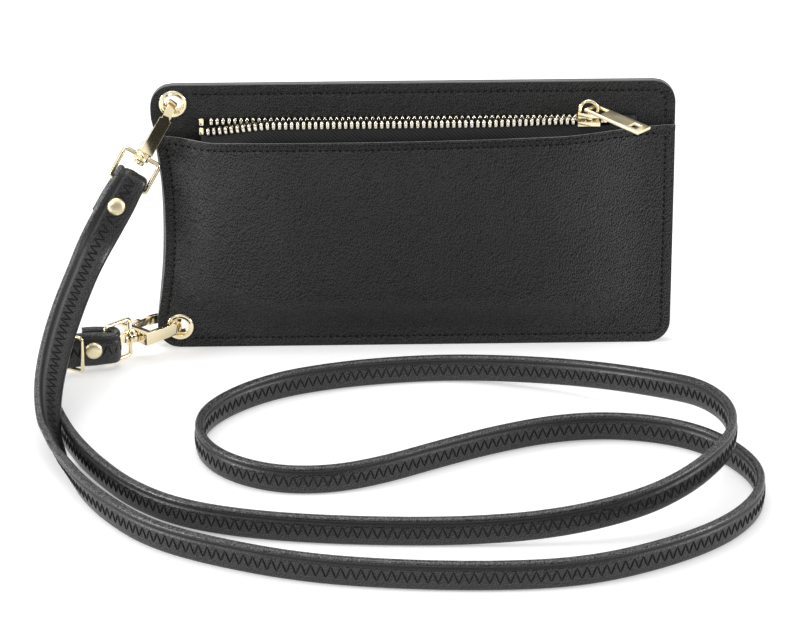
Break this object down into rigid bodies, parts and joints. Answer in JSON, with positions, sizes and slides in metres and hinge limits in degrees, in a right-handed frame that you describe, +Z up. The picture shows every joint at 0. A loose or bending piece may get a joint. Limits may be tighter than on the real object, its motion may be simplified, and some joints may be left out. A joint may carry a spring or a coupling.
{
  "type": "phone pouch",
  "caption": "Flat leather phone pouch with an open end for the phone, a zipped front pocket and a long flat strap on swivel snap hooks.",
  "frame": {"origin": "middle of the pouch's bottom edge, in the mid-plane of the middle panel", "axes": "+X along the pouch away from the phone's mouth, -Y towards the zipped pocket, +Z up"},
  "size_m": [0.2311, 0.1982, 0.094],
  "materials": {
    "panel_leather": "fine grain, soft sheen",
    "strap_leather": "smooth, soft sheen",
    "lining_fabric": "matt",
    "zip_tape": "matt",
    "gold_metal": "polished pale gold"
  },
  "bodies": {
    "pouch": {"back_panel": "panel_leather", "phone_lining": "lining_fabric", "middle_panel": "panel_leather", "pocket_lining": "lining_fabric", "front_panel": "panel_leather", "zip_tape_front": "zip_tape", "zip_tape_back": "zip_tape", "zip_teeth_front": "gold_metal", "zip_teeth_back": "gold_metal", "zip_top_stops": "gold_metal", "zip_bottom_stop": "gold_metal", "zip_end_tab": "zip_tape", "upper_eyelet": "gold_metal", "upper_eyelet_washer": "gold_metal", "lower_eyelet": "gold_metal", "lower_eyelet_washer": "gold_metal", "strap_rise": "strap_leather", "strap_run": "strap_leather", "strap_slide": "gold_metal"},
    "zip_slider": {"zip_slider": "gold_metal", "zip_bail": "gold_metal"},
    "zip_pull": {"zip_pull": "gold_metal"},
    "upper_hook": {"upper_hook": "gold_metal", "upper_gate_pin": "gold_metal", "upper_gate_spring": "gold_metal", "upper_swivel_stem": "gold_metal"},
    "upper_gate": {"upper_gate": "gold_metal"},
    "upper_loop": {"upper_swivel_loop": "gold_metal", "upper_strap_end": "strap_leather", "upper_rivet_cap": "gold_metal", "upper_rivet_post": "gold_metal"},
    "lower_hook": {"lower_hook": "gold_metal", "lower_gate_pin": "gold_metal", "lower_gate_spring": "gold_metal", "lower_swivel_stem": "gold_metal"},
    "lower_gate": {"lower_gate": "gold_metal"},
    "lower_loop": {"lower_swivel_loop": "gold_metal", "lower_strap_end": "strap_leather", "lower_rivet_cap": "gold_metal", "lower_rivet_post": "gold_metal"}
  },
  "joints": [
    {"name": "zip_slide", "type": "slide", "parent": "pouch", "child": "zip_slider", "axis": [1, 0, 0], "range_m": [-0.12, 0], "deforming": ["zip_teeth_front", "zip_teeth_back", "zip_tape_front"]},
    {"name": "pull_swing", "type": "hinge", "parent": "zip_slider", "child": "zip_pull", "pos_m": [0.0595, -0.0038, 0.0857], "axis": [0.6428, 0.766, 0], "range_deg": [-85, 0]},
    {"name": "upper_hook_swing", "type": "hinge", "parent": "pouch", "child": "upper_hook", "pos_m": [-0.0804, 0.00085, 0.0876], "axis": [0, 1, 0], "range_deg": [0, 60], "deforming": ["strap_rise", "strap_run"]},
    {"name": "upper_gate_press", "type": "hinge", "parent": "upper_hook", "child": "upper_gate", "pos_m": [-0.08995, 0.0034, 0.0717], "axis": [0.8572, 0, -0.515], "range_deg": [0, 12], "stiffness_Nm_per_rad": 0.02, "springref_deg": -5.73, "deforming": ["upper_gate_spring"]},
    {"name": "upper_loop_swivel", "type": "hinge", "parent": "upper_hook", "child": "upper_loop", "pos_m": [-0.08359, 0.00085, 0.08229], "axis": [-0.4958, -0.2708, -0.8251], "range_deg": [-15, 60], "deforming": ["strap_rise", "strap_run"]},
    {"name": "lower_hook_swing", "type": "hinge", "parent": "pouch", "child": "lower_hook", "pos_m": [-0.0804, 0, 0.0076], "axis": [0, 1, 0], "range_deg": [0, 30], "deforming": ["strap_rise", "strap_run"]},
    {"name": "lower_gate_press", "type": "hinge", "parent": "lower_hook", "child": "lower_gate", "pos_m": [-0.09862, -0.00382, 0.0076], "axis": [0, 0, -1], "range_deg": [0, 12], "stiffness_Nm_per_rad": 0.02, "springref_deg": -5.73, "deforming": ["lower_gate_spring"]},
    {"name": "lower_loop_swivel", "type": "hinge", "parent": "lower_hook", "child": "lower_loop", "pos_m": [-0.0866, 0, 0.0076], "axis": [-0.7071, -0.7071, 0], "range_deg": [0, 60], "deforming": ["strap_rise", "strap_run"]}
  ]
}
